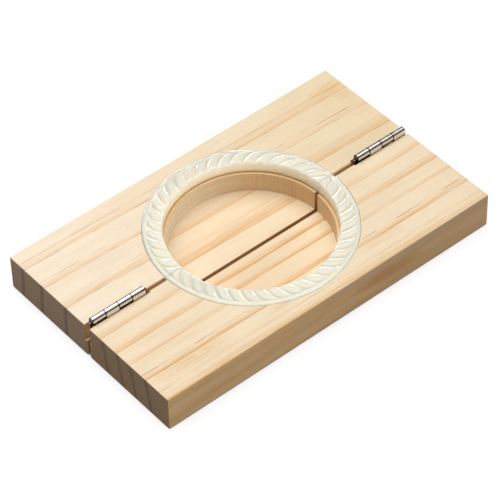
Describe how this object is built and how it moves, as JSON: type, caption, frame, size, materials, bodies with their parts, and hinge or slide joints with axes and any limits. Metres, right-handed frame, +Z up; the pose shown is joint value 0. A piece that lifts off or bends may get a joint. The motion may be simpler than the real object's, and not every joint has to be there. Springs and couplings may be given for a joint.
{
  "type": "dumpling press",
  "caption": "Folding wooden press: hinged boards with a round pocket ringed by slanted plastic crimping lobes; folds shut to seal a filled half-moon pastry.",
  "frame": {"origin": "on the underside of the boards, in the middle of the fold line, with the press lying open and flat", "axes": "+X along the fold line, +Y from the front board to the back board, +Z up"},
  "size_m": [0.16, 0.0956, 0.019],
  "materials": {
    "pine_board": "planed and sanded pine, bare",
    "milky_plastic": "moulded, milky and slightly translucent",
    "nickel_plate": "bright nickel plate on pressed steel",
    "pin_steel": "bare drawn wire",
    "screw_steel": "zinc plated"
  },
  "bodies": {
    "back_half": {"back_board": "pine_board", "back_crimp_ring": "milky_plastic", "left_hinge_back_leaf": "nickel_plate", "left_hinge_back_screws": "screw_steel", "left_hinge_pin": "pin_steel", "right_hinge_back_leaf": "nickel_plate", "right_hinge_back_screws": "screw_steel", "right_hinge_pin": "pin_steel"},
    "front_half": {"front_board": "pine_board", "front_crimp_ring": "milky_plastic", "left_hinge_front_leaf": "nickel_plate", "left_hinge_front_screws": "screw_steel", "right_hinge_front_leaf": "nickel_plate", "right_hinge_front_screws": "screw_steel"}
  },
  "joints": [
    {"name": "fold", "type": "hinge", "parent": "back_half", "child": "front_half", "pos_m": [0, 0, 0.0176], "axis": [-1, 0, 0], "range_deg": [0, 181]}
  ]
}
